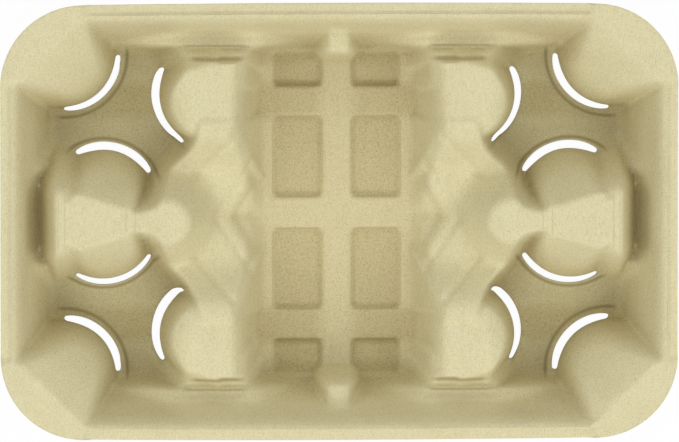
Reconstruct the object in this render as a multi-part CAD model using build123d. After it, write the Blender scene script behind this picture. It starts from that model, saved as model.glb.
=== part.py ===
# Moulded pulp cup carrier: one shell of even wall with four cup pockets and a well in the middle.
# Millimetres, +Z up, +X along the long side, origin on the ground below the middle of the tray.
# The shell is the body under its top face, less the same body drawn in and lowered by the wall.
import os
from math import atan, cos, degrees, radians, sin, tan

from build123d import *

# Tray outline, height and wall
tray_length = 332.0
tray_width = 213.0
side_bow = 1.2
corner_radius = 40.0
tray_height = 46.0
wall = 1.8
side_wall_share = 0.7
overrun = 12.0

# Rim: an outer lip, a crest above it, and a side that falls from the crest to the floor
lip_width = 4.7
lip_drop = 1.6
crest_width = 3.3
side_run = 18.0

# Cup pockets: three grip lobes at even angles round the cup, each slit along its foot
pocket_end_inset = 62.2
pocket_x = tray_length / 2 - pocket_end_inset
pocket_side_inset = 58.3
pocket_y = tray_width / 2 - pocket_side_inset
lobe_reach = 42.1
corner_lobe_angle = 45.0
lobe_pitch_angle = 120.0
lobe_radius = 26.0
lobe_lip_height = 12.0
lobe_side_lean_angle = 5.0
roof_bend_share = 0.5
roof_bulge_share = 0.07
slit_width = 3.2
slit_half_angle = 42.0
slit_tip_angle = 2.5

# Corner lobes, which fall from a straight crest across each corner of the rim
corner_crest_reach = 52.0
corner_crest_front = lobe_reach - corner_crest_reach
corner_crest_half = 21.2
corner_lobe_back = 60.0
corner_lean_angle = 6.0
corner_kerb_run = 4.6
corner_kerb_height = 6.0

# Inner lobes, which fall from the crests of the shoulders
inner_crest_reach = 39.4
inner_crest_front = lobe_reach - inner_crest_reach
inner_crest_half = 17.0
inner_lobe_back = 9.0
inner_lean_angle = 11.0

# Tower lobes, which fall from the sides of the towers, whose tops taper inwards
tower_crest_reach = 40.4
tower_crest_front = lobe_reach - tower_crest_reach
tower_crest_half = 16.8
tower_lobe_back = 2.0
tower_lobe_lean_angle = 13.0
tower_kerb_run = 3.4
tower_kerb_height = 8.0

# Shoulders between the pockets and the well, rolled off towards the well and the saddle
shoulder_height = 40.0
shoulder_waist_height = 24.0
shoulder_top_run = 52.8
shoulder_top_x = pocket_x - shoulder_top_run
shoulder_waist_run = 62.3
shoulder_waist_x = pocket_x - shoulder_waist_run
shoulder_foot_run = 69.8
shoulder_foot_x = pocket_x - shoulder_foot_run
shoulder_far_run = 42.3
shoulder_far_x = pocket_x - shoulder_far_run
shoulder_far_foot_run = 38.3
shoulder_far_foot_x = pocket_x - shoulder_far_foot_run
shoulder_inner_run = 16.8
shoulder_inner_y = pocket_y - shoulder_inner_run
shoulder_inner_waist_run = 26.4
shoulder_inner_waist_y = pocket_y - shoulder_inner_waist_run
shoulder_inner_foot_run = 28.8
shoulder_inner_foot_y = pocket_y - shoulder_inner_foot_run
shoulder_outer_run = 29.0
shoulder_outer_y = pocket_y + shoulder_outer_run
shoulder_outer_foot_run = 36.0
shoulder_outer_foot_y = pocket_y + shoulder_outer_foot_run

# Ledge between each shoulder and the long rim, with a step between them
ledge_height = 27.0
ledge_outer_inset = 10.5
ledge_outer_y = tray_width / 2 - ledge_outer_inset
ledge_depth = 12.0
ledge_front_y = ledge_outer_y - ledge_depth
ledge_near_run = 69.8
ledge_near_x = pocket_x - ledge_near_run
ledge_far_run = 11.8
ledge_far_x = pocket_x - ledge_far_run
ledge_front_near_run = 57.4
ledge_front_near_x = pocket_x - ledge_front_near_run
ledge_front_far_run = 28.9
ledge_front_far_x = pocket_x - ledge_front_far_run
ledge_lean_angle = 10.5
step_height = 32.0
step_outer_run = 13.3
step_outer_y = ledge_outer_y - step_outer_run
step_inner_run = 28.0
step_inner_y = ledge_outer_y - step_inner_run
step_lean_angle = 15.0

# Well: a platform of ribs with eight sunk panels, which stand on the ground
platform_height = 4.8
platform_run = 63.8
platform_half_x = pocket_x - platform_run
well_edge_inset = 2.5
well_edge_x = platform_half_x - well_edge_inset
platform_side_inset = 22.5
platform_half_y = tray_width / 2 - platform_side_inset
rib_half = 6.75
cross_rib_half = 7.45
panel_outer_inset = 8.3
panel_outer_x = platform_half_x - panel_outer_inset
panel_end_inset = 4.0
panel_end_y = platform_half_y - panel_end_inset
end_panel_length = 17.6
end_rib_width = 14.4
end_rib_outer_y = panel_end_y - end_panel_length
end_rib_inner_y = end_rib_outer_y - end_rib_width
panel_corner = 2.0
panel_least_pitch = 30.0
panel_lean_angle = 20.0
bay_half = 6.6
bay_top_half = 8.3
bay_foot_inset = 0.6
bay_foot_x = platform_half_x - bay_foot_inset
bay_top_run = 7.5
bay_top_x = platform_half_x + bay_top_run

# Posts against the long rim at the ends of the well
post_height = 31.0
post_half = 6.4
post_front_inset = 25.5
post_front_y = tray_width / 2 - post_front_inset
post_back_inset = 9.5
post_back_y = tray_width / 2 - post_back_inset
post_corner = 2.0
post_lean_angle = 12.0

# Saddle between two shoulders: a shallow trough that is notched towards the well
saddle_middle_height = 20.5
saddle_side_height = 24.5
saddle_neck_run = 7.3
saddle_neck_x = pocket_x - saddle_neck_run
saddle_neck_y = 4.0
saddle_corner_run = 28.4
saddle_corner_x = pocket_x - saddle_corner_run
saddle_corner_side_run = 18.9
saddle_corner_y = pocket_y - saddle_corner_side_run
saddle_shoulder_run = 37.8
saddle_shoulder_x = pocket_x - saddle_shoulder_run
saddle_shoulder_side_run = 10.2
saddle_shoulder_y = pocket_y - saddle_shoulder_side_run
saddle_well_run = 6.0
saddle_well_x = platform_half_x + saddle_well_run
saddle_lean_angle = 20.0
notch_apex_run = 18.5
notch_apex_x = platform_half_x + notch_apex_run
notch_top_half = 27.0

# Tower between two pockets, waisted to a round knob at its inner end
tower_height = 44.0
tower_end_inset = 30.0
tower_outer_x = tray_length / 2 - tower_end_inset
tower_outer_half = 12.8
tower_inner_inset = 62.3
tower_inner_x = tray_length / 2 - tower_inner_inset
tower_inner_half = 7.4
tower_waist_inset = 68.7
tower_waist_x = tray_length / 2 - tower_waist_inset
tower_waist_half = 5.6
knob_inset = 82.7
knob_x = tray_length / 2 - knob_inset
knob_radius = 10.3
knob_neck_half = 9.5
tower_lean_angle = 12.0
waist_groove_gap = 2.0
waist_groove_x = tower_waist_x + waist_groove_gap
waist_groove_width = 1.0
waist_groove_depth = 0.7

# Web that floors the gully between each tower and the short rim
web_height = 22.5
web_half = 18.0
web_inner_inset = 38.0
web_inner_x = tray_length / 2 - web_inner_inset
web_outer_inset = 10.0
web_outer_x = tray_length / 2 - web_outer_inset
web_lean_angle = 34.0


def outline(inset):
    """Plan of the tray: straight short sides, long sides that bow out, round corners."""
    x, y = tray_length / 2 - inset, tray_width / 2 - inset
    east = Line((x, -y), (x, y))
    north = ThreePointArc((x, y), (0, y + side_bow), (-x, y))
    west = Line((-x, y), (-x, -y))
    south = ThreePointArc((-x, -y), (0, -y - side_bow), (x, -y))
    plan = make_face([east, north, west, south])
    return fillet(plan.vertices(), corner_radius - inset)


def polygon(*points):
    """A face with straight sides through the given points."""
    return make_face(Polyline(*points, close=True))


def rectangle(near_x, far_x, near_y, far_y):
    """A face between two x and two y values."""
    return polygon((near_x, near_y), (far_x, near_y), (far_x, far_y), (near_x, far_y))


def drawn_in(plan, inset):
    """The plan with its edges moved inwards, corners kept sharp."""
    return offset(plan, -inset, kind=Kind.INTERSECTION) if inset else plan


def prism(plan, low, high):
    """A plan carried straight up from one height to another."""
    return extrude(Pos(0, 0, low) * plan, high - low)


def frustum(plan, low, high, lean):
    """A plan at its upper height, carried down to a lower one and widening by a lean angle."""
    block = prism(plan, low, high)
    sides = block.faces().sort_by(Axis.Z)[1:-1]
    return draft(sides, Plane.XY.offset(high), lean)


def lofted(*sections):
    """A body with straight sides from plan to plan, each given with its height."""
    return loft([Pos(0, 0, height) * plan for height, plan in sections], ruled=True)


def quarters(body):
    """A body and its copies in the other three quarters of the tray."""
    pair = [body, mirror(body, about=Plane.XZ)]
    return pair + [mirror(half, about=Plane.YZ) for half in pair]


def both_ends(body):
    """A body and its copy at the other short end of the tray."""
    return [body, mirror(body, about=Plane.YZ)]


def both_sides(body):
    """A body and its copy at the other long side of the tray."""
    return [body, mirror(body, about=Plane.XZ)]


def basin(inset):
    """The hollow inside the rim, from the floor to above the crest."""
    rise = tray_height - wall
    lean = degrees(atan(side_run / rise))
    top = outline(lip_width + crest_width - side_run * overrun / rise - inset)
    return frustum(top, wall, tray_height + overrun, -lean)


def lobe_plane(turn):
    """Plane at a lobe's centre, with its x axis pointing at the cup."""
    angle = radians(corner_lobe_angle + turn * lobe_pitch_angle)
    away = Vector(cos(angle), sin(angle), 0)
    return Plane(Vector(pocket_x, pocket_y, 0) + away * lobe_reach, x_dir=-away, z_dir=(0, 0, 1))


def upright_cone(foot_radius, top_radius, height):
    """A cone that stands on the ground, with its seam turned to the back."""
    cone = Cone(foot_radius, top_radius, height, align=(Align.CENTER, Align.CENTER, Align.MIN))
    return mirror(cone, about=Plane.YZ)


def roof(turn, front, back, half, height, inset):
    """Block with a level crest, flat sides and a top that falls in two flats to over the slit."""
    crest, lip = Vector(front - inset, height), Vector(lobe_radius, lobe_lip_height)
    fall = lip - crest
    bend = crest + fall * roof_bend_share + Vector(-fall.Y, fall.X) * roof_bulge_share
    rear = front - back
    profile = polygon(crest, bend, lip, (lip.X, 0), (rear, 0), (rear, height))
    top = extrude(Plane.XZ * profile, lobe_reach, both=True)
    sides = rectangle(rear, lobe_reach, inset - half, half - inset)
    return lobe_plane(turn) * (top & frustum(sides, 0, height, lobe_side_lean_angle))


def lobe(turn, cover, height, lean, foot_height, inset):
    """A grip lobe: a cone with a tail, cut off by its cover, as wide as its slit at its foot."""
    radius, slope = lobe_radius - inset, tan(radians(lean))
    top_radius = radius - (height - foot_height) * slope
    cone = upright_cone(radius + foot_height * slope, top_radius, height)
    tail = prism(rectangle(-corner_lobe_back, 0, -lobe_reach, lobe_reach), 0, height)
    return lobe_plane(turn) * (cone + tail) & cover


def kerb(turn, run, height, inset):
    """Low slope round the foot of a lobe, on the side of the cup."""
    radius, flare = lobe_radius - inset, run * height / (height - wall)
    front = prism(rectangle(0, lobe_reach, -lobe_reach, lobe_reach), 0, 2 * height)
    return lobe_plane(turn) * (upright_cone(radius + flare, radius - flare, 2 * height) & front)


def corner_lobe(inset):
    """Lobe that falls from a straight crest across a corner of the rim."""
    height, foot_height = tray_height, corner_kerb_height
    cover = roof(0, corner_crest_front, corner_lobe_back, corner_crest_half, height, inset)
    cover &= prism(outline(lip_width + crest_width / 2 + inset), 0, height)
    return lobe(0, cover, height, corner_lean_angle, foot_height, inset)


def inner_lobe(inset):
    """Lobe that falls from the crest of a shoulder to the pocket's floor."""
    height = shoulder_height
    cover = roof(1, inner_crest_front, inner_lobe_back, inner_crest_half, height, inset)
    return lobe(1, cover, height, inner_lean_angle, wall, inset)


def tower_lobe(inset):
    """Lobe that falls from one side of a tower's top."""
    height, foot_height = tower_height, tower_kerb_height
    cover = roof(2, tower_crest_front, tower_lobe_back, tower_crest_half, height, inset)
    body = lobe(2, cover, height, tower_lobe_lean_angle, foot_height, inset)
    return body + kerb(2, tower_kerb_run, foot_height, inset)


def bay(inset):
    """Flute in a shoulder's side at the end of a cross rib."""
    middle = (end_rib_inner_y + end_rib_outer_y) / 2

    def plan(back, half):
        return rectangle(0, back + inset, middle - half - inset, middle + half + inset)

    low = (platform_height, plan(bay_foot_x, bay_half))
    return lofted(low, (shoulder_height, plan(bay_top_x, bay_top_half)))


def shoulder(inset):
    """Block between a pocket and the well: where its long and its cross profile meet."""
    low, mid, high = 0, shoulder_waist_height, shoulder_height
    near = [(shoulder_foot_x, low), (shoulder_waist_x, mid), (shoulder_top_x, high)]
    far = [(shoulder_far_x, high), (shoulder_far_foot_x, low)]
    along = polygon(*[(x + inset, z) for x, z in near], *[(x - inset, z) for x, z in far])
    inner = [(shoulder_inner_foot_y, low), (shoulder_inner_waist_y, mid), (shoulder_inner_y, high)]
    outer = [(shoulder_outer_y, high), (shoulder_outer_foot_y, low)]
    across = polygon(*[(y + inset, z) for y, z in inner], *[(y - inset, z) for y, z in outer])
    long_bar = extrude(Plane.XZ * along, -tray_width)
    cross_bar = extrude(Plane.YZ * across, tray_length)
    return (long_bar & cross_bar) - bay(inset)


def ledge(inset):
    """Ledge that flares out towards the long rim."""
    back = [(ledge_near_x, ledge_outer_y), (ledge_far_x, ledge_outer_y)]
    front = [(ledge_front_far_x, ledge_front_y), (ledge_front_near_x, ledge_front_y)]
    return frustum(drawn_in(polygon(*back, *front), inset), 0, ledge_height, ledge_lean_angle)


def step(inset):
    """Step between the ledge and the top of a shoulder."""
    plan = rectangle(ledge_front_near_x, ledge_front_far_x, step_inner_y, step_outer_y)
    return frustum(drawn_in(plan, inset), 0, step_height, step_lean_angle)


def platform(inset):
    """Rib platform of the well, less its eight sunk panels."""
    plan = rectangle(-platform_half_x, platform_half_x, -platform_half_y, platform_half_y)
    body = prism(plan, 0, platform_height)
    rows = [(cross_rib_half, end_rib_inner_y), (end_rib_outer_y, panel_end_y)]
    room = panel_outer_x + rib_half
    columns = int(room // panel_least_pitch)
    for column in range(columns):
        near_x = rib_half + column * room / columns
        far_x = near_x + room / columns - 2 * rib_half
        for near_y, far_y in rows:
            sunk = rectangle(near_x, far_x, near_y, far_y)
            sunk = drawn_in(chamfer(sunk.vertices(), panel_corner), -inset)
            body -= quarters(frustum(sunk, wall, platform_height, -panel_lean_angle))
    return body


def post(inset):
    """Post that leans on the long rim, rounded at its front corners."""
    plan = drawn_in(rectangle(-post_half, post_half, post_front_y, post_back_y), inset)
    plan = chamfer(plan.vertices().group_by(Axis.Y)[0], post_corner)
    return frustum(plan, 0, post_height, post_lean_angle)


def saddle(inset):
    """Trough between two shoulders, with a notch that opens into the well."""
    arm = [
        (saddle_well_x, saddle_shoulder_y),
        (saddle_shoulder_x, saddle_shoulder_y),
        (saddle_corner_x, saddle_corner_y),
        (saddle_neck_x, saddle_neck_y),
    ]
    plan = polygon(*arm, *[(x, -y) for x, y in reversed(arm)])
    block = frustum(drawn_in(plan, inset), 0, saddle_side_height, saddle_lean_angle)
    rise = (saddle_side_height - saddle_middle_height) / saddle_corner_y
    top_y = saddle_shoulder_y + overrun
    top = saddle_middle_height + rise * top_y
    trough = [(0, saddle_middle_height), (top_y, top), (0, top + overrun), (-top_y, top)]
    cut = extrude(Plane.YZ * polygon(*trough), tray_length)
    return block - cut - notch(inset)


def notch(inset):
    """Cut with a floor that falls to the well and sides that rise to the shoulders."""
    slope = (saddle_middle_height - platform_height) / (notch_apex_x - well_edge_x)
    steep = (saddle_side_height - platform_height) / notch_top_half

    def section(x):
        low = platform_height + (x - well_edge_x) * slope
        high = tray_height + overrun
        half = (high - low) / steep + inset
        return Plane.YZ.offset(x) * polygon((0, low), (half, high), (-half, high))

    return loft([section(well_edge_x - overrun), section(notch_apex_x + overrun)], ruled=True)


def tower(inset):
    """Top of the tower, waisted between two pockets, with a round knob at its inner end."""
    side = [
        (knob_x, knob_neck_half),
        (tower_waist_x, tower_waist_half),
        (tower_inner_x, tower_inner_half),
        (tower_outer_x, tower_outer_half),
    ]
    plan = drawn_in(polygon(*side, *[(x, -y) for x, y in reversed(side)]), inset)
    keep = rectangle(knob_x, tray_length / 2, -tray_width / 2, tray_width / 2)
    body = frustum(plan, 0, tower_height, tower_lean_angle) & prism(keep, 0, tower_height)
    radius = knob_radius - inset
    knob_foot = radius + tower_height * tan(radians(tower_lean_angle))
    return body + Pos(knob_x, 0, 0) * upright_cone(knob_foot, radius, tower_height)


def waist_groove(start_x):
    """Shallow groove across the waist of a tower."""
    plan = rectangle(start_x, start_x + waist_groove_width, -tower_inner_half, tower_inner_half)
    return prism(plan, tower_height - waist_groove_depth, tower_height + overrun)


def web(inset):
    """Low wall behind a tower, whose top is the floor of the gully."""
    plan = rectangle(web_inner_x, web_outer_x, -web_half, web_half)
    return frustum(drawn_in(plan, inset), 0, web_height, web_lean_angle)


def form(inset, margin):
    """The body under one face of the shell, with every raised outline drawn in."""
    body = prism(outline(-margin), -overrun, tray_height - lip_drop)
    body += prism(outline(lip_width + inset), 0, tray_height)
    body -= basin(inset)
    body += quarters(corner_lobe(inset)) + quarters(inner_lobe(inset)) + quarters(tower_lobe(inset))
    body += quarters(kerb(0, corner_kerb_run, corner_kerb_height, inset))
    body += quarters(shoulder(inset)) + quarters(ledge(inset)) + quarters(step(inset))
    body += both_sides(post(inset)) + [platform(inset)]
    body += both_ends(saddle(inset)) + both_ends(tower(inset)) + both_ends(web(inset))
    return body - both_ends(waist_groove(waist_groove_x)) - both_ends(waist_groove(tower_inner_x))


def slit(turn):
    """Curved slit along the foot of a lobe, pointed at its ends, cut straight down."""
    start, sweep = -slit_half_angle, 2 * slit_half_angle
    inner = CenterArc((0, 0), lobe_radius - slit_width / 2, start, sweep)
    outer = CenterArc((0, 0), lobe_radius + slit_width / 2, start, sweep)
    tips = CenterArc((0, 0), lobe_radius, start - slit_tip_angle, sweep + 2 * slit_tip_angle)
    first, last = Polyline(inner @ 0, tips @ 0, outer @ 0), Polyline(inner @ 1, tips @ 1, outer @ 1)
    return lobe_plane(turn) * prism(make_face([inner, outer, first, last]), -overrun, tray_height)


under = Pos(0, 0, -wall) * form(wall * side_wall_share, overrun)
carrier = form(0, 0) - under
for turn in range(3):
    carrier -= quarters(slit(turn))

os.makedirs("parts", exist_ok=True)
export_step(carrier, "parts/carrier.step")
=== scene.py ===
import math
import bpy
import numpy as np
from mathutils import Matrix, Vector


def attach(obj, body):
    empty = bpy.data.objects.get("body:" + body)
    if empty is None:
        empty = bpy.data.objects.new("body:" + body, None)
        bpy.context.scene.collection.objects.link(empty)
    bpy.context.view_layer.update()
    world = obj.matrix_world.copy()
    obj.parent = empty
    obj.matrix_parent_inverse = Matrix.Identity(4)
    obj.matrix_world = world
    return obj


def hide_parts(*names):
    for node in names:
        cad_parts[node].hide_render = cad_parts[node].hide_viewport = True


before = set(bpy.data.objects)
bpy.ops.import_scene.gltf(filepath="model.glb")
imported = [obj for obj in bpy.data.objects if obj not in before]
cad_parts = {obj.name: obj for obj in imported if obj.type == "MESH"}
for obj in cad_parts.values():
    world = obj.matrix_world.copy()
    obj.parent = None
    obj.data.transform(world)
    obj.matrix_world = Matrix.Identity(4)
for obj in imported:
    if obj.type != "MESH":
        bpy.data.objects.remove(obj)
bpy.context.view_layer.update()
scene = bpy.context.scene
mm = 0.001
print("stage: frame loaded")


# Soft maths on heights in millimetres
def softMin(a, b, blend):  # lower of two heights, rounded over where they differ by less than blend
    gap = np.maximum(blend - np.abs(a - b), 0)
    return np.minimum(a, b) - gap * gap / (4 * blend)


def softMax(a, b, blend):  # higher of two heights, with the corner between them filled
    return -softMin(-a, -b, blend)


def softPos(d, blend):  # zero below, d above, with a round bend between
    return softMax(d, 0 * d, blend)


def ramp(t):  # smooth step from 0 to 1
    t = np.clip(t, 0, 1)
    return t * t * (3 - 2 * t)


def lowest(blend, first, *others):
    for other in others:
        first = softMin(first, other, blend)
    return first


def slope(angle):  # height gained for each millimetre, for a wall that leans by an angle
    return 1 / math.tan(math.radians(angle))


rim = dict(
    halfLength=166.0, halfWidth=106.5, sideBow=1.15, cornerRadius=40.0, height=46.0,
    lipWidth=4.7, lipDrop=1.6, lipStep=1.6, crestWidth=3.3, sideRun=18.0, crestBlend=9.0,
    floor=1.8, wall=1.8, footBlend=5.0,
)


def halfWidthAt(x):  # half the tray's width: a shallow parabola, widest in the middle
    return rim["halfWidth"] + rim["sideBow"] * (1 - (x / rim["halfLength"]) ** 2)


def edgeDistance(x, y):  # how far a point lies inside the rounded outline
    r = rim["cornerRadius"]
    qx = np.abs(x) - (rim["halfLength"] - r)
    qy = np.abs(y) - (halfWidthAt(x) - r)
    outside = np.hypot(np.maximum(qx, 0), np.maximum(qy, 0))
    return r - outside - np.minimum(np.maximum(qx, qy), 0)


def rimHeight(x, y):  # lip, crest and the side that falls from the crest to the floor
    e = edgeDistance(x, y)
    onLip = ramp((e - rim["lipWidth"] + rim["lipStep"] / 2) / rim["lipStep"])
    lip = rim["height"] - rim["lipDrop"] * (1 - onLip)
    rise = rim["height"] - rim["floor"]
    side = rim["height"] - (e - rim["lipWidth"] - rim["crestWidth"]) * rise / rim["sideRun"]
    return softMin(lip, side, rim["crestBlend"])


pocket = dict(
    x=103.8, y=48.2, lobeReach=42.1, firstAngle=45.0, pitchAngle=120.0, lobeRadius=26.0,
    slitWidth=3.8, slitHalfAngle=43.5, slitTaper=0.35, flareAngle=47.0, blend=8.0,
    kerbBend=0.5, kerbBlend=1.0, mostRun=2.0,
)
cornerLobe, innerLobe, towerLobe = range(3)
# each lobe's kerb line value sets how dark the painted shadow line round its slit is
lobes = [  # half is the width to either side of the axis, flare names the sides that flare
    dict(
        height=46.0, front=-9.9, lean=20.0, back=60.0, half=(60.0, 60.0), sideLean=(20.0, 20.0),
        kerbRun=4.6, kerbHeight=5.0, kerbShadowLine=1.0, lip=13.0, roll=0.62, flare=(1, -1),
    ),
    dict(
        height=40.0, front=9.0, lean=11.0, back=18.0, half=(18.5, 11.0), sideLean=(18.0, 50.0),
        kerbRun=1.6, kerbHeight=3.0, kerbShadowLine=0.35, lip=27.0, roll=0.5, flare=(1, -1),
    ),
    dict(
        height=44.0, front=1.7, lean=18.0, back=2.5, half=(24.0, 24.0), sideLean=(18.0, 18.0),
        kerbRun=3.4, kerbHeight=5.5, kerbShadowLine=1.0, lip=9.0, roll=0.7, flare=(-1,),
    ),
]


def lobeAxis(turn):  # from the pocket's middle to the lobe: its direction, and the lobe's centre
    angle = math.radians(pocket["firstAngle"] + turn * pocket["pitchAngle"])
    ax, ay = math.cos(angle), math.sin(angle)
    return ax, ay, pocket["x"] + pocket["lobeReach"] * ax, pocket["y"] + pocket["lobeReach"] * ay


def lobeFrame(turn, x, y):  # u runs from the lobe's centre to the cup, v across it
    ax, ay, middleX, middleY = lobeAxis(turn)
    dx, dy = x - middleX, y - middleY
    return -(dx * ax + dy * ay), dx * ay - dy * ax


def lobeHeight(turn, x, y):  # the lowest of a leaning wall, a roof that rolls down, a back and two sides
    form = lobes[turn]
    u, v = lobeFrame(turn, x, y)
    top, radius = form["height"], pocket["lobeRadius"]
    out = np.where(u > 0, np.hypot(u, v), np.abs(v)) - radius
    flareAngle = math.radians(pocket["flareAngle"])
    for side in form["flare"]:  # straight on from the end of the slit
        beyond = np.arctan2(side * v, u) > flareAngle
        straight = u * math.cos(flareAngle) + side * v * math.sin(flareAngle) - radius
        out = np.where(beyond, straight, out)
    wall = form["kerbHeight"] - out * slope(form["lean"])
    run = np.clip((u - form["front"]) / (radius - form["front"]), 0, pocket["mostRun"])
    roof = top - (top - form["lip"]) * (form["roll"] * run + (1 - form["roll"]) * run ** 2)
    back = top + (u - form["front"] + form["back"]) * slope(form["lean"])
    (plusHalf, minusHalf), (plusLean, minusLean) = form["half"], form["sideLean"]
    plus = top + (plusHalf - np.abs(v)) * slope(plusLean)
    minus = top + (minusHalf - np.abs(v)) * slope(minusLean)
    body = lowest(pocket["blend"], wall, roof, back, np.where(v > 0, plus, minus))
    kerbSlope = (form["kerbHeight"] - rim["floor"]) / form["kerbRun"]
    kerb = np.where(u > 0, form["kerbHeight"] - softPos(out, pocket["kerbBend"]) * kerbSlope, 0)
    return softMax(body, kerb, pocket["kerbBlend"])


def slitDistance(x, y):  # distance to the nearest slit's edge, less than zero inside it
    best = np.full_like(x, np.inf)
    half, radius = math.radians(pocket["slitHalfAngle"]), pocket["lobeRadius"]
    for turn in range(len(lobes)):
        u, v = lobeFrame(turn, np.abs(x), np.abs(y))
        along = np.minimum(np.arctan2(np.abs(v), u), half)
        gap = np.hypot(u - radius * np.cos(along), np.abs(v) - radius * np.sin(along))
        width = pocket["slitWidth"] / 2 * (1 - pocket["slitTaper"] * (along / half) ** 4)
        best = np.minimum(best, gap - width)
    return best


shoulder = dict(
    height=40.0, waistHeight=20.0, topX=51.0, waistX=41.5, footX=35.0, farX=61.5, farFootX=65.5,
    innerY=44.0, innerWaistY=23.0, innerFootY=17.0, outerY=77.2, outerFootY=84.2, blend=9.0, outerBlend=1.5,
    bayY=55.2, bayHalf=6.6, bayTopHalf=8.3, bayFootX=39.4, bayTopX=47.5,
)


def shoulderHeight(x, y):  # lowest of the planes round the block, with a flute towards the well
    s = shoulder
    top, waist = s["height"], s["waistHeight"]
    upper = waist + (x - s["waistX"]) * (top - waist) / (s["topX"] - s["waistX"])
    lower = (x - s["footX"]) * waist / (s["waistX"] - s["footX"])
    innerUpper = waist + (y - s["innerWaistY"]) * (top - waist) / (s["innerY"] - s["innerWaistY"])
    innerLower = (y - s["innerFootY"]) * waist / (s["innerWaistY"] - s["innerFootY"])
    outer = top + (s["outerY"] - y) * top / (s["outerFootY"] - s["outerY"])
    far = top + (s["farX"] - x) * top / (s["farFootX"] - s["farX"])
    body = lowest(s["blend"], top + 0 * x, upper, lower, innerUpper, innerLower, far)
    body = softMin(body, outer, s["outerBlend"])
    rise = top - well["platform"]
    bayBack = well["platform"] + (x - s["bayFootX"]) * rise / (s["bayTopX"] - s["bayFootX"])
    bayOut = np.abs(y - s["bayY"]) - s["bayHalf"]
    baySide = well["platform"] + bayOut * rise / (s["bayTopHalf"] - s["bayHalf"])
    return softMin(body, softMax(bayBack, baySide, s["blend"]), s["blend"])


ledge = dict(
    height=28.0, fall=0.4, frontY=84.2, backY=96.0, nearX=34.0, farX=92.0, frontNearX=46.0, frontFarX=74.9,
    lean=14.0, nearLean=46.0, farLean=52.0, endBlend=4.0, blend=2.0,
    stepHeight=32.0, stepY=82.0, stepLean=15.0, stepInnerY=66.0, stepFarY=78.0, nearShare=0.7, farShare=0.55,
)


def ledgeHeight(x, y):  # a flat that flares to the rim, and the step above it
    g = ledge
    depth = g["backY"] - g["frontY"]
    flareNear, flareFar = (g["frontNearX"] - g["nearX"]) / depth, (g["farX"] - g["frontFarX"]) / depth
    into = y - g["frontY"]
    before, beyond = g["frontNearX"] - x, x - g["frontFarX"]
    near = (before - flareNear * into) / math.hypot(1, flareNear)
    far = (beyond - flareFar * into) / math.hypot(1, flareFar)
    fallen = softPos(near, g["endBlend"]) * slope(g["nearLean"])
    fallen = fallen + softPos(far, g["endBlend"]) * slope(g["farLean"])
    fallen = fallen + softPos(-into, g["blend"]) * slope(g["lean"])
    flat = g["height"] - g["fall"] * into - fallen
    stepOut = np.maximum(before * g["nearShare"], beyond * g["farShare"])
    stepOut = np.maximum(stepOut, np.maximum(y - g["stepY"], g["stepInnerY"] - y))
    stepOut = np.maximum(stepOut, np.minimum(np.maximum(before, beyond), g["stepFarY"] - y))
    step = g["stepHeight"] - softPos(stepOut, g["blend"]) * slope(g["stepLean"])
    return softMax(flat, step, g["blend"])


well = dict(
    platform=4.8, halfX=40.0, halfY=84.0, edgeBlend=1.0, panelNearX=6.75, panelFarX=31.7, panelCorner=3.0,
    panelLean=26.0, rows=((7.45, 48.0), (62.4, 80.0)), blend=1.6,
)


def boxDistance(x, y, nearX, farX, nearY, farY, corner):  # distance outside a rectangle with round corners
    qx = np.abs(x - (nearX + farX) / 2) - (farX - nearX) / 2 + corner
    qy = np.abs(y - (nearY + farY) / 2) - (farY - nearY) / 2 + corner
    outside = np.hypot(np.maximum(qx, 0), np.maximum(qy, 0))
    return outside + np.minimum(np.maximum(qx, qy), 0) - corner


def wellHeight(x, y):  # a platform of ribs with sunk panels
    w = well
    top = w["platform"] - softPos(np.maximum(x - w["halfX"], y - w["halfY"]), w["edgeBlend"])
    for nearY, farY in w["rows"]:
        d = boxDistance(x, y, w["panelNearX"], w["panelFarX"], nearY, farY, w["panelCorner"])
        panel = softMax(w["platform"] + d * slope(w["panelLean"]), rim["floor"] + 0 * d, w["blend"])
        top = softMin(top, panel, w["blend"])
    return top


post = dict(height=31.0, half=6.4, frontY=81.0, lean=12.0, corner=3.0, blend=3.0)


def postHeight(x, y):  # a block that leans on the long rim
    d = boxDistance(x, y, -post["half"], post["half"], post["frontY"], rim["halfWidth"], post["corner"])
    return post["height"] - softPos(d, post["blend"]) * slope(post["lean"])


saddle = dict(
    middle=20.5, side=24.5, sideY=29.3, lean=14.0, endLean=23.0, endY=56.0, wellX=46.0, blend=5.0,
    neck=(97.0, 7.0), corner=(74.5, 33.5), shoulderAt=(72.5, 46.0), cornerBlend=3.0,
    notchX=58.5, notchFootX=37.5, notchHalf=27.0, riseY=24.0, rise=0.8, riseBlend=5.0, topGap=0.5, topBlend=4.0,
)


def lineDistance(x, y, a, b):  # signed distance to the line through two plan points, more than zero beyond it
    dx, dy = b[0] - a[0], b[1] - a[1]
    return ((x - a[0]) * dy - (y - a[1]) * dx) / math.hypot(dx, dy)


def diagonalWall(x, y):  # a steep plane over the line from the tower's waist to the inner lobe
    s = saddle
    toCorner = lineDistance(x, y, s["neck"], s["corner"])
    toShoulder = lineDistance(x, y, s["corner"], s["shoulderAt"])
    return s["side"] - softMin(toCorner, toShoulder, s["cornerBlend"]) * slope(s["lean"])


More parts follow.
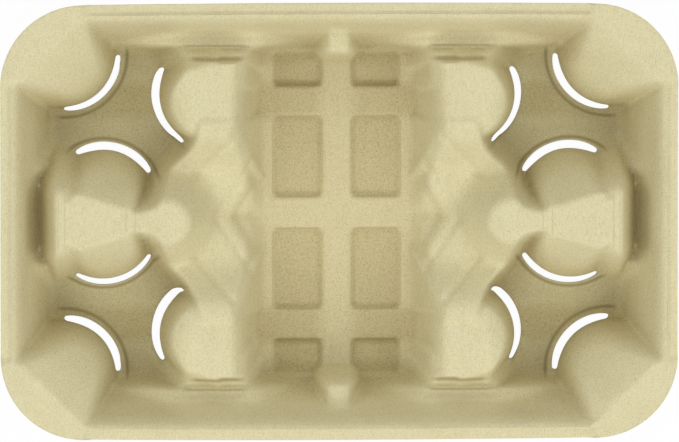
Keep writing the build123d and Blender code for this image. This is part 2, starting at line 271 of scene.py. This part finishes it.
def saddleHeight(x, y):  # a trough with a notch to the well, cut off by the pocket's diagonal wall
    s = saddle
    trough = s["middle"] + (s["side"] - s["middle"]) * y / s["sideY"]
    trough = trough + softPos(y - s["riseY"], s["riseBlend"]) * s["rise"]
    trough = softMin(trough, shoulder["height"] - s["topGap"] + 0 * x, s["topBlend"])
    floorSlope = (s["middle"] - well["platform"]) / (s["notchX"] - s["notchFootX"])
    steep = (s["side"] - well["platform"]) / s["notchHalf"]
    notch = well["platform"] + (x - s["notchFootX"]) * floorSlope + y * steep
    ends = s["side"] - np.maximum(s["wellX"] - x, y - s["endY"]) * slope(s["endLean"])
    return lowest(s["blend"], trough, notch, diagonalWall(x, y), ends)


tower = dict(
    height=44.0, knobX=84.5, knobRadius=10.3, neckHalf=9.5, waistX=98.5, waistHalf=5.6, innerX=104.9, innerHalf=7.4,
    outerX=137.2, outerHalf=12.8, lean=12.0, knobLean=36.0, knobSideLean=14.0, blend=2.5, apronBlend=4.0, joinBlend=1.0,
    barHeight=43.6, barNearX=135.2, barFarX=140.0, barHalf=16.6, barLean=14.0, barSideLean=24.0, barNearLean=44.0,
    barSideBlend=4.0, barNearBlend=3.0, barBlend=1.5,
    webHeight=12.0, webNearX=128.0, webFarX=156.0, webHalf=18.0, webLean=34.0, webBlend=3.0,
    grooves=(100.5, 105.1), grooveWidth=1.2, grooveDepth=0.7, groovePast=2.0, grooveFade=3.0,
)


def towerHeight(x, y):  # a long top of changing width with a round knob, a bar across its end and the web behind it
    t = tower
    stations = [t["knobX"], t["waistX"], t["innerX"], t["outerX"]]
    half = np.interp(x, stations, [t["neckHalf"], t["waistHalf"], t["innerHalf"], t["outerHalf"]])
    out = np.maximum(np.maximum(y - half, x - t["outerX"]), t["knobX"] - x)
    top = t["height"] - softPos(out, t["blend"]) * slope(t["lean"])
    knobOut = softPos(np.hypot(x - t["knobX"], y) - t["knobRadius"], t["blend"])
    apron = softMin(t["height"] - knobOut * slope(t["knobLean"]), diagonalWall(x, y), t["apronBlend"])
    knob = softMax(apron, t["height"] - knobOut * slope(t["knobSideLean"]), t["joinBlend"])
    top = softMax(top, knob, t["joinBlend"])
    bar = t["barHeight"] - softPos(x - t["barFarX"], t["blend"]) * slope(t["barLean"])
    bar = bar - softPos(y - t["barHalf"], t["barSideBlend"]) * slope(t["barSideLean"])
    bar = bar - softPos(t["barNearX"] - x, t["barNearBlend"]) * slope(t["barNearLean"])
    top = softMax(top, bar, t["barBlend"])
    webOut = boxDistance(x, y, t["webNearX"], t["webFarX"], -t["webHalf"], t["webHalf"], 0.0)
    web = t["webHeight"] - softPos(webOut, t["blend"]) * slope(t["webLean"])
    return softMax(top, web, t["webBlend"])


def grooveDepth(x, y, z):  # two dips across the tower's waist, only near its top
    t = tower
    fade = ramp((z - t["height"] + t["grooveFade"]) / t["grooveFade"]) * (y < t["innerHalf"] + t["groovePast"])
    dips = [np.exp(-((x - start) / t["grooveWidth"]) ** 2) for start in t["grooves"]]
    return t["grooveDepth"] * fade * sum(dips)


gully = dict(
    carve=4.0, carveX=146.0, carveRun=8.0, carveHalf=17.0,
    cheekHeight=27.0, cheekX=149.0, cheekY=21.5, alongFall=1.1, outFall=0.9, inFall=2.4, blend=5.0,
)


def cheekHeight(x, y):  # a tent-shaped facet that closes each end of the gully
    beyond = y - gully["cheekY"]
    side = softPos(beyond, gully["blend"]) * gully["outFall"] + softPos(-beyond, gully["blend"]) * gully["inFall"]
    return gully["cheekHeight"] - side - np.abs(x - gully["cheekX"]) * gully["alongFall"]


def gullyDepth(x, y):  # a smooth hollow in the end wall behind the tower
    across, along = (x - gully["carveX"]) / gully["carveRun"], y / gully["carveHalf"]
    return gully["carve"] * np.maximum(1 - across ** 2, 0) * np.maximum(1 - along ** 4, 0)


fold = dict(
    lines=(((60.0, 0.0), (41.0, 30.0)), ((50.0, 0.0), (41.0, 15.0)), ((70.0, 20.0), (52.0, 40.0))),
    width=1.7, depth=1.3,
)


def foldDepth(x, y):  # shallow creases of the saddle, each a dip across a plan line
    depth = 0 * x
    for (ax, ay), (bx, by) in fold["lines"]:
        dx, dy = bx - ax, by - ay
        along = np.clip(((x - ax) * dx + (y - ay) * dy) / (dx * dx + dy * dy), 0, 1)
        gap = np.hypot(x - ax - along * dx, y - ay - along * dy)
        depth = depth + fold["depth"] * np.exp(-(gap / fold["width"]) ** 2)
    return depth


joins = dict(  # blends between neighbouring forms, and the caps on what they fill
    cornerLobe=3.0, well=1.0, cheekPost=2.0, wallForms=4.0, innerLobe=5.0, shoulder=3.0, ledge=6.0, saddle=5.0,
    towerLobe=3.0, tower=5.0, shoulderCap=3.0, towerCap=2.0, towerCapRise=0.3,
    lobeEndX=133.0, lobeEndBlend=3.0, lobeEndLean=30.0,
)


def topHeight(x, y):  # the shell's upper face: every form of one quarter, mirrored to all four
    ax, ay, j = np.abs(x), np.abs(y), joins
    z = softMax(rimHeight(x, y) - gullyDepth(ax, ay), rim["floor"] + 0 * x, rim["footBlend"])
    z = softMax(z, lobeHeight(cornerLobe, ax, ay), j["cornerLobe"])
    z = softMax(z, wellHeight(ax, ay), j["well"])
    z = softMax(z, softMax(cheekHeight(ax, ay), postHeight(ax, ay), j["cheekPost"]), j["wallForms"])
    block = softMax(shoulderHeight(ax, ay), lobeHeight(innerLobe, ax, ay), j["innerLobe"])
    block = softMin(block, shoulder["height"] + 0 * block, j["shoulderCap"])
    z = softMax(z, block, j["shoulder"])
    z = softMax(z, ledgeHeight(ax, ay), j["ledge"])
    z = softMax(z, saddleHeight(ax, ay), j["saddle"])
    lobeEnd = softPos(ax - j["lobeEndX"], j["lobeEndBlend"]) * slope(j["lobeEndLean"])
    block = softMax(towerHeight(ax, ay), lobeHeight(towerLobe, ax, ay) - lobeEnd, j["towerLobe"])
    block = softMin(block, tower["height"] + j["towerCapRise"] + 0 * block, j["towerCap"])
    z = softMax(z, block, j["tower"])
    return z - grooveDepth(ax, ay, z) - foldDepth(ax, ay)


shell = dict(
    columns=250, straightRows=106, sideRows=29, edgeRows=10, edgeShare=0.9,
    seed=7, waves=14, waveLengths=(18, 70), uneven=0.22, unevenFoot=4.0, unevenTop=1.5,
    slitStep=0.01, slitPasses=3, leastSlope=0.25, slitDrop=2.5, normalStep=0.4, sharpAngle=55.0, lowerShade=0.6,
)


def unevenness(x, y):  # a few long seeded waves, the sag and swell of dried pulp
    draw = np.random.default_rng(shell["seed"])
    total = 0 * x
    for _ in range(shell["waves"]):
        angle, length = draw.uniform(0, math.pi), draw.uniform(*shell["waveLengths"])
        phase = draw.uniform(0, 2 * math.pi)
        total = total + np.sin((x * math.cos(angle) + y * math.sin(angle)) * 2 * math.pi / length + phase)
    return shell["uneven"] * total / math.sqrt(shell["waves"])


def faceHeight(x, y):  # the upper face with its unevenness, which fades out at the floor and at the rim's top
    z = topHeight(x, y)
    fade = ramp((z - rim["floor"]) / shell["unevenFoot"]) * ramp((rim["height"] - z) / shell["unevenTop"])
    return np.clip(z + unevenness(x, y) * fade, rim["floor"], rim["height"])


def gradientOf(height, x, y, step):  # central differences along x and y
    gx = (height(x + step, y) - height(x - step, y)) / (2 * step)
    gy = (height(x, y + step) - height(x, y - step)) / (2 * step)
    return gx, gy


def gridPoints():  # rows across the tray, each as long as the outline is there, so that the edge is smooth
    r, shareAt = rim["cornerRadius"], shell["edgeShare"]
    straight = rim["halfWidth"] - r
    rise = np.linspace(0, shareAt, shell["sideRows"] + 1)[1:]
    last = np.sin(np.linspace(math.asin(shareAt), math.pi / 2, shell["edgeRows"] + 1)[1:])
    corner = straight + r * np.concatenate([rise, last])
    rows = np.concatenate([-corner[::-1], np.linspace(-straight, straight, shell["straightRows"]), corner])
    share = np.clip((np.abs(rows) - straight) / r, 0, 1)
    reach = rim["halfLength"] - r + r * np.sqrt(1 - share ** 2)
    x = reach[:, None] * np.linspace(-1, 1, shell["columns"])[None, :]
    return x, rows[:, None] * halfWidthAt(x) / rim["halfWidth"]


sky = dict(
    halfX=172.0, halfY=114.0, cell=1.0, directions=16, closeReach=5,
    reaches=(1.5, 3, 5, 8, 12, 17, 24, 33, 45, 60),
)


def openness(x, y):  # share of the sky over each point: the mean over directions of the squared cosine of the horizon
    cell = sky["cell"]
    gridX = np.arange(-sky["halfX"], sky["halfX"] + cell / 2, cell)
    gridY = np.arange(-sky["halfY"], sky["halfY"] + cell / 2, cell)
    flatX, flatY = np.meshgrid(gridX, gridY)
    heights = np.where(edgeDistance(flatX, flatY) < 0, 0, faceHeight(flatX, flatY))

    def at(px, py):  # height between four grid points
        fx = np.clip((px - gridX[0]) / cell, 0, len(gridX) - 1.001)
        fy = np.clip((py - gridY[0]) / cell, 0, len(gridY) - 1.001)
        ix, iy = fx.astype(int), fy.astype(int)
        tx, ty = fx - ix, fy - iy
        near = heights[iy, ix] * (1 - tx) + heights[iy, ix + 1] * tx
        far = heights[iy + 1, ix] * (1 - tx) + heights[iy + 1, ix + 1] * tx
        return near * (1 - ty) + far * ty

    base = at(x, y)
    wide, close = 0 * x, 0 * x
    count = sky["directions"]
    for angle in np.arange(count) * 2 * math.pi / count:
        steepest = 0 * x
        for reach in sky["reaches"]:
            rise = (at(x + reach * math.cos(angle), y + reach * math.sin(angle)) - base) / reach
            steepest = np.maximum(steepest, rise)
            if reach == sky["closeReach"]:
                close = close + 1 / (1 + steepest ** 2) / count
        wide = wide + 1 / (1 + steepest ** 2) / count
    return wide, close


def cutSlits(x, y, quads):  # drops the quads inside the slits and draws the ragged edge onto the slit's outline
    inSlit = slitDistance(x[quads].mean(axis=1), y[quads].mean(axis=1)) < 0
    touched, kept = np.zeros(len(x), bool), np.zeros(len(x), bool)
    touched[quads[inSlit]] = True
    kept[quads[~inSlit]] = True
    onSlit = touched & kept
    for _ in range(shell["slitPasses"]):
        px, py = x[onSlit], y[onSlit]
        d = slitDistance(px, py)
        gx, gy = gradientOf(slitDistance, px, py, shell["slitStep"])
        size = np.maximum(gx * gx + gy * gy, shell["leastSlope"])
        x[onSlit], y[onSlit] = px - d * gx / size, py - d * gy / size
    return quads[~inSlit], onSlit


def borderOf(quads, count):  # the sides that only one quad has
    sides = np.concatenate([quads[:, [0, 1]], quads[:, [1, 2]], quads[:, [2, 3]], quads[:, [3, 0]]])
    key = np.sort(sides, axis=1) @ np.array([count, 1])
    _, first, uses = np.unique(key, return_index=True, return_counts=True)
    return sides[first[uses == 1]]


def makeShell():  # upper face, lower face a wall below it along the normal, and the edges between them
    x, y = gridPoints()
    index = np.arange(x.size).reshape(x.shape)
    quads = np.stack([index[:-1, :-1], index[:-1, 1:], index[1:, 1:], index[1:, :-1]], axis=-1).reshape(-1, 4)
    x, y = x.ravel(), y.ravel()
    quads, onSlit = cutSlits(x, y, quads)
    z = faceHeight(x, y)
    gx, gy = gradientOf(faceHeight, x, y, shell["normalStep"])
    steep = np.sqrt(1 + gx * gx + gy * gy)
    wall, count = rim["wall"], len(x)
    upper = np.stack([x, y, z], axis=1)
    lower = upper - wall * np.stack([-gx / steep, -gy / steep, 1 / steep], axis=1)
    flatEdge = edgeDistance(x, y) < rim["lipWidth"] / 2
    lower[flatEdge] = upper[flatEdge] - np.array([0, 0, wall])
    lower[onSlit] = upper[onSlit]
    lower[onSlit, 2] -= wall * np.minimum(steep[onSlit], shell["slitDrop"])
    lower[:, 2] = np.maximum(lower[:, 2], 0)
    border = borderOf(quads, count)
    edgeQuads = np.stack([border[:, 1], border[:, 0], border[:, 0] + count, border[:, 1] + count], axis=1)
    # measures that set the painted shade in the colour: sky open far and near, and steepness; the lower face takes a
    # fixed value
    upperShades = np.stack([*openness(x, y), 1 - 1 / steep], axis=1)
    shades = np.concatenate([upperShades, np.full_like(upperShades, shell["lowerShade"])])
    faces = np.concatenate([quads, quads[:, ::-1] + count, edgeQuads])
    used, faces = np.unique(faces, return_inverse=True)
    points, shades, faces = np.concatenate([upper, lower])[used] * mm, shades[used], faces.reshape(-1, 4)
    print("stage: shell of", len(points), "points and", 2 * len(faces), "triangles")
    return pieceOf("carrierShell", points, faces, dict(zip(("openWide", "openClose", "steepness"), shades.T)))


def pieceOf(name, points, faces, attributes):  # a smooth mesh of quads with one value per point for each attribute
    mesh = bpy.data.meshes.new(name)
    mesh.vertices.add(len(points))
    mesh.vertices.foreach_set("co", points.ravel())
    mesh.loops.add(faces.size)
    mesh.loops.foreach_set("vertex_index", faces.ravel().astype(np.int32))
    mesh.polygons.add(len(faces))
    mesh.polygons.foreach_set("loop_start", np.arange(0, faces.size, 4, dtype=np.int32))
    mesh.update(calc_edges=True)
    for label, values in attributes.items():
        mesh.attributes.new(label, "FLOAT", "POINT").data.foreach_set("value", values.astype(np.float32))
    mesh.polygons.foreach_set("use_smooth", np.ones(len(mesh.polygons), bool))
    mesh.set_sharp_from_angle(angle=math.radians(shell["sharpAngle"]))
    piece = bpy.data.objects.new(name, mesh)
    scene.collection.objects.link(piece)
    return piece


class Wire:  # a shader socket that takes part in Python sums
    def __init__(self, tree, socket):
        self.tree, self.socket = tree, socket

    def math(self, operation, a, b=0):
        return nodeOf(self.tree, "ShaderNodeMath", dict(operation=operation), {0: a, 1: b})

    def __add__(self, other):
        return self.math("ADD", self, other)

    def __sub__(self, other):
        return self.math("SUBTRACT", self, other)

    def __rsub__(self, other):
        return self.math("SUBTRACT", other, self)

    def __mul__(self, other):
        return self.math("MULTIPLY", self, other)

    def __abs__(self):
        return self.math("ABSOLUTE", self)

    def root(self):
        return self.math("SQRT", self)

    def atMost(self, other):
        return self.math("MINIMUM", self, other)

    def atLeast(self, other):
        return self.math("MAXIMUM", self, other)

    def band(self, low, high, kind="LINEAR"):  # 0 at low, 1 at high
        inputs = {"Value": self, "From Min": low, "From Max": high}
        return nodeOf(self.tree, "ShaderNodeMapRange", dict(interpolation_type=kind), inputs)

    def pulse(self, at, half):  # 1 at a value, 0 at half a width to either side
        return abs(self - at).band(half, 0.0, "SMOOTHSTEP")


def nodeOf(tree, kind, settings, inputs, output=0):  # any node: settings first, then values or links of its sockets
    node = tree.nodes.new(kind)
    for name, value in settings.items():
        setattr(node, name, value)
    for name, value in inputs.items():
        if isinstance(value, Wire):
            tree.links.new(value.socket, node.inputs[name])
        else:
            node.inputs[name].default_value = value
    return Wire(tree, node.outputs[output])


# one tone is the painted shade that the hollow share mixes in; the speck tone colours both the pulp's specks and the
# painted shadow lines
pulp = dict(
    colour=(0.70, 0.640, 0.392, 1), pale=(0.77, 0.72, 0.49, 1), brown=(0.50, 0.43, 0.235, 1),
    shadeTone=(0.40, 0.315, 0.125, 1), speck=(0.26, 0.208, 0.085, 1),
    roughness=0.93, specular=0.12, bumpDepth=0.0003, bumpStrength=0.9, tilt=(0.3, 0.2),
)
noises = dict(  # scale, detail and roughness, then stretch and turn
    cloud=(55.0, 3.0, 0.6, (1, 1, 1), 0.0), grain=(900.0, 4.0, 0.7, (1, 1, 1), 0.0),
    fine=(2100.0, 2.0, 0.6, (1, 1, 1), 0.0), fibreA=(330.0, 3.0, 0.6, (1, 6, 3), 0.5),
    fibreB=(330.0, 3.0, 0.6, (6, 1, 3), -0.4),
)
patches = dict(  # two noises and their shares, then the band of the sum and its strength
    pale=("grain", 0.6, "fibreA", 0.4, 0.46, 0.62, 0.6), brown=("fibreB", 0.4, "fine", 0.6, 0.48, 0.62, 0.5),
    speck=("fine", 0.55, "grain", 0.45, 0.47, 0.63, 1.0),
)
cloudPatch = dict(low=0.5, high=0.75, share=0.14)
bumpShares = dict(grain=0.5, fine=0.35, fibreA=0.3, fibreB=0.3)
# the painted shadow lines round the slits, where each kerb ends
kerbShadowLine = dict(half=1.5, pastAngle=9.0, fadeFrom=-1.0, fadeTo=2.0)
# how far each painted crease shade line fades at its ends, in mm
creaseShadowFade = 2.0
creaseShadows = [  # painted shade in the creases, as straight lines of one quarter: across x or y, place, half width, start, end, strength
    ("X", 31.4, 0.7, 10.0, 46.0, 0.25), ("X", 100.0, 0.6, -9.0, 5.5, 0.3), ("X", 104.6, 0.6, -9.0, 6.5, 0.3),
    ("X", 134.6, 0.7, -9.0, 12.0, 0.25), ("X", 137.6, 0.5, -9.0, 15.0, 0.2), ("Y", 7.8, 0.9, 8.0, 30.5, 0.4),
    ("Y", 47.7, 0.9, 8.0, 30.5, 0.4), ("Y", 62.8, 1.0, 8.0, 30.5, 0.5), ("Y", 79.2, 1.8, 47.0, 72.0, 0.9),
    ("Y", 85.0, 0.9, 46.0, 75.0, 0.6),
]
skyBands = (  # painted shade where little sky is open: attribute, where it adds nothing and where all, and how much that is
    ("openWide", 0.45, 0.15, 0.24), ("openWide", 0.75, 0.3, 0.07), ("openClose", 0.95, 0.35, 0.2),
)
zones = dict(  # where painted shade is laid on, or for high and ledge lifted off, each a product of bands, from none to all: dx and dy from the pocket's middle, reach and z, in mm
    outerSide=(("dx", -58.0, -36.0),), lowWall=(("z", 12.0, 2.2),), floor=(("z", 4.6, 2.2),),
    bowl=(("reach", 52.0, 38.0), ("z", 4.0, 12.0), ("z", 38.0, 24.0), ("dx", -26.0, -14.0)),
    crossRib=(("dx", -99.8, -91.8), ("dy", -4.0, 2.0), ("dy", 18.0, 13.0), ("z", 12.0, 6.0)),
    wellEnd=(("dx", -60.0, -68.0), ("dx", -96.8, -91.8), ("dy", 24.0, 38.0), ("z", 26.0, 10.0)),
    wellFloor=(("dx", -62.0, -68.0), ("z", 7.5, 5.5)), wellPanel=(("z", 4.6, 2.6),),
    ledge=(("dx", -70.0, -56.0), ("dx", -18.0, -30.0), ("dy", 32.0, 37.0), ("z", 12.0, 20.0)),
    high=(("z", 18.0, 30.0),),
)
shade = dict(  # how much painted shade each zone adds; the high ground and the ledge take some away, which paints them lighter; the crease entry sets the painted shadow lines
    lowWall=0.08, floor=0.13, bowl=0.08, crossRib=0.26, wellEnd=0.3, wellFloor=0.14, wellPanel=0.13,
    steepFrom=0.2, steepTo=0.75, steep=0.06, outerSteep=0.16, most=0.9, high=0.3, ledge=0.7,
    speck=0.14, hollowSpeck=0.9, creaseShadow=0.7,
)


def sideOf(tree, place, name):  # distance from the tray's middle along one axis
    return abs(nodeOf(tree, "ShaderNodeSeparateXYZ", {}, {0: place}, name))


def kerbShadowLines(tree, place):  # painted shadow: a thin dark line round each slit where its kerb ends, as a pulse round the lobe's centre
    x, y = sideOf(tree, place, "X"), sideOf(tree, place, "Y")
    endAngle = math.radians(pocket["slitHalfAngle"] + kerbShadowLine["pastAngle"])
    total = 0
    for turn, form in enumerate(lobes):
        ax, ay, middleX, middleY = lobeAxis(turn)
        dx, dy = x - middleX * mm, y - middleY * mm
        r = (dx * dx + dy * dy).root()
        line = r.pulse((pocket["lobeRadius"] + form["kerbRun"]) * mm, kerbShadowLine["half"] * mm)
        facing = dx * -ax + dy * -ay - r * math.cos(endAngle)
        within = facing.band(kerbShadowLine["fadeFrom"] * mm, kerbShadowLine["fadeTo"] * mm)
        total = line * within * form["kerbShadowLine"] + total
    return total


def straightShadowLines(tree, place):  # painted shade in the creases: the sum of pulses across each crease, faded at its ends
    sides = dict(X=sideOf(tree, place, "X"), Y=sideOf(tree, place, "Y"))
    total = 0
    for name, at, half, start, end, strength in creaseShadows:
        across, along = sides[name], sides["Y" if name == "X" else "X"]
        begin = along.band((start - creaseShadowFade) * mm, (start + creaseShadowFade) * mm)
        stop = along.band((end + creaseShadowFade) * mm, (end - creaseShadowFade) * mm)
        total = across.pulse(at * mm, half * mm) * begin * stop * strength + total
    return total


def hollowShade(tree, place):  # share of the painted shade: darker where little sky is open, on steep walls, and in zones of the tray
    dx, dy = [sideOf(tree, place, name) - pocket[key] * mm for name, key in (("X", "x"), ("Y", "y"))]
    z = nodeOf(tree, "ShaderNodeSeparateXYZ", {}, {0: place}, "Z")
    measures = dict(dx=dx, dy=dy, z=z, reach=(dx * dx + dy * dy).root())

    def attribute(name):
        return nodeOf(tree, "ShaderNodeAttribute", dict(attribute_name=name), {}, "Fac")

    def zone(name):
        total = 1
        for measure, none, full in zones[name]:
            total = measures[measure].band(none * mm, full * mm) * total
        return total

    steep = attribute("steepness").band(shade["steepFrom"], shade["steepTo"])
    hollow = steep * (zone("outerSide") * shade["outerSteep"] + shade["steep"])
    for name, none, full, share in skyBands:
        hollow = hollow + attribute(name).band(none, full) * share
    for name in ("lowWall", "floor", "bowl", "crossRib", "wellEnd"):
        hollow = hollow + zone(name) * shade[name]
    hollow = hollow + zone("wellFloor") * (zone("wellPanel") * shade["wellPanel"] + shade["wellFloor"])
    hollow = hollow.atMost(shade["most"])
    return hollow * (1 - zone("high") * shade["high"]) * (1 - zone("ledge") * shade["ledge"])


def pulpMaterial():  # pale fibres and brown specks on tan, with painted shade where the form is hollow and painted shadow lines at the kerbs and creases
    material = bpy.data.materials.new("mouldedPulp")
    material.use_nodes = True
    tree = material.node_tree
    shader = tree.nodes["Principled BSDF"]
    shader.inputs["Specular IOR Level"].default_value = pulp["specular"]
    shader.inputs["Roughness"].default_value = pulp["roughness"]
    place = nodeOf(tree, "ShaderNodeTexCoord", {}, {}, "Object")

    def noise(name):
        scale, detail, rough, stretch, turn = noises[name]
        turned = {"Vector": place, "Scale": stretch, "Rotation": (*pulp["tilt"], turn)}
        at = nodeOf(tree, "ShaderNodeMapping", {}, turned)
        inputs = {"Vector": at, "Scale": scale, "Detail": detail, "Roughness": rough}
        return nodeOf(tree, "ShaderNodeTexNoise", {}, inputs)

    def tint(factor, a, b):
        return nodeOf(tree, "ShaderNodeMix", dict(data_type="RGBA"), {0: factor, 6: a, 7: b}, 2)

    fields = {name: noise(name) for name in noises}

    def patch(name):
        first, firstShare, second, secondShare, start, end, strength = patches[name]
        return (fields[first] * firstShare + fields[second] * secondShare).band(start, end) * strength

    clouds = fields["cloud"].band(cloudPatch["low"], cloudPatch["high"]) * cloudPatch["share"]
    colour = tint(patch("pale"), pulp["colour"], pulp["pale"])
    colour = tint(patch("brown") + clouds, colour, pulp["brown"])
    # painted shade: the colour mixes towards the shade tone by the hollow share
    hollow = hollowShade(tree, place)
    colour = tint(hollow, colour, pulp["shadeTone"])
    # the pulp's own brown specks, drawn stronger where the painted shade is deeper
    specks = patch("speck") * (hollow * shade["hollowSpeck"] + shade["speck"])
    colour = tint(specks, colour, pulp["speck"])
    # painted shadow lines round the kerbs and along the creases, in the speck tone
    creaseShadow = kerbShadowLines(tree, place) + straightShadowLines(tree, place)
    colour = tint(creaseShadow * shade["creaseShadow"], colour, pulp["speck"])
    tree.links.new(colour.socket, shader.inputs["Base Color"])
    height = 0
    for name, share in bumpShares.items():
        height = fields[name] * share + height
    raised = {"Height": height, "Distance": pulp["bumpDepth"], "Strength": pulp["bumpStrength"]}
    tree.links.new(nodeOf(tree, "ShaderNodeBump", {}, raised).socket, shader.inputs["Normal"])
    return material


carrier = makeShell()
carrier.data.materials.append(pulpMaterial())
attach(carrier, "root")
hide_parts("carrier")
print("stage: carrier dressed")


white = (1, 1, 1, 1)
studio = dict(
    floorSize=6.0, floorColour=(0.86, 0.86, 0.86, 1), whiteShare=0.97, skyLevel=0.28,
    lampSize=1.3, lampReach=2.2, lampRise=41.0, levels=dict(front=24.4, back=13.3, left=13.2, right=13.2),
    cameraFrom=(-0.035, 0.118, 1.0), cameraReach=8.0, cameraAim=(0.0, 0.0006, 0.046), viewWidth=0.3325, sensor=36.0,
)


def whiteToCamera(tree, surface):  # white to the camera and its reflections, and a pale matt face to the light
    path = tree.nodes.new("ShaderNodeLightPath")
    seen = [Wire(tree, path.outputs[name]) for name in ("Is Camera Ray", "Is Glossy Ray", "Is Transmission Ray")]
    either = seen[0].atLeast(seen[1]).atLeast(seen[2])
    glow = nodeOf(tree, "ShaderNodeEmission", {}, {"Color": white, "Strength": 1.0})
    return nodeOf(tree, "ShaderNodeMixShader", {}, {0: either * studio["whiteShare"], 1: surface, 2: glow})


def makeFloor():
    half = studio["floorSize"] / 2
    corners = [(-half, -half, 0), (half, -half, 0), (half, half, 0), (-half, half, 0)]
    mesh = bpy.data.meshes.new("floor")
    mesh.from_pydata(corners, [], [(0, 1, 2, 3)])
    floor = bpy.data.objects.new("floor", mesh)
    scene.collection.objects.link(floor)
    material = bpy.data.materials.new("paleFloor")
    material.use_nodes = True
    tree = material.node_tree
    tree.nodes.remove(tree.nodes["Principled BSDF"])
    matt = nodeOf(tree, "ShaderNodeBsdfDiffuse", {}, {"Color": studio["floorColour"]})
    tree.links.new(whiteToCamera(tree, matt).socket, tree.nodes["Material Output"].inputs["Surface"])
    mesh.materials.append(material)


def areaLamp(name, level, size, at):  # a square lamp that faces the tray
    lamp = bpy.data.lights.new(name, "AREA")
    lamp.energy, lamp.size = level, size
    ob = bpy.data.objects.new(name, lamp)
    ob.location = at
    ob.rotation_euler = (-at).to_track_quat("-Z", "Y").to_euler()
    scene.collection.objects.link(ob)


def makeLight():  # an even sky that the camera sees as white, and a lamp on each side
    world = bpy.data.worlds.new("studio")
    scene.world = world
    world.use_nodes = True
    tree = world.node_tree
    background = tree.nodes["Background"]
    background.inputs["Color"].default_value = white
    background.inputs["Strength"].default_value = studio["skyLevel"]
    path = tree.nodes.new("ShaderNodeLightPath")
    seen = Wire(tree, path.outputs["Is Camera Ray"])
    bright = nodeOf(tree, "ShaderNodeBackground", {}, {"Color": white, "Strength": 1.0})
    mixed = nodeOf(tree, "ShaderNodeMixShader", {}, {0: seen, 1: Wire(tree, background.outputs[0]), 2: bright})
    tree.links.new(mixed.socket, tree.nodes["World Output"].inputs["Surface"])
    rise = math.radians(studio["lampRise"])
    turns = dict(front=(0, -1), back=(0, 1), left=(-1, 0), right=(1, 0))
    for name, (sideX, sideY) in turns.items():
        towards = Vector((sideX * math.cos(rise), sideY * math.cos(rise), math.sin(rise)))
        areaLamp(name + "Lamp", studio["levels"][name], studio["lampSize"], towards * studio["lampReach"])


def makeCamera():  # a long lens above the tray, tilted a little
    data = bpy.data.cameras.new("camera")
    data.sensor_width = studio["sensor"]
    data.lens = studio["sensor"] * studio["cameraReach"] / studio["viewWidth"]
    camera = bpy.data.objects.new("camera", data)
    back = Vector(studio["cameraFrom"]).normalized()
    right = Vector((0, 1, 0)).cross(back).normalized()
    up = back.cross(right)
    turn = Matrix((right, up, back)).transposed().to_4x4()
    camera.matrix_world = Matrix.Translation(Vector(studio["cameraAim"]) + back * studio["cameraReach"]) @ turn
    scene.collection.objects.link(camera)
    scene.camera = camera


makeFloor()
makeLight()
makeCamera()
scene.view_settings.view_transform = "Standard"
print("stage: studio lit")
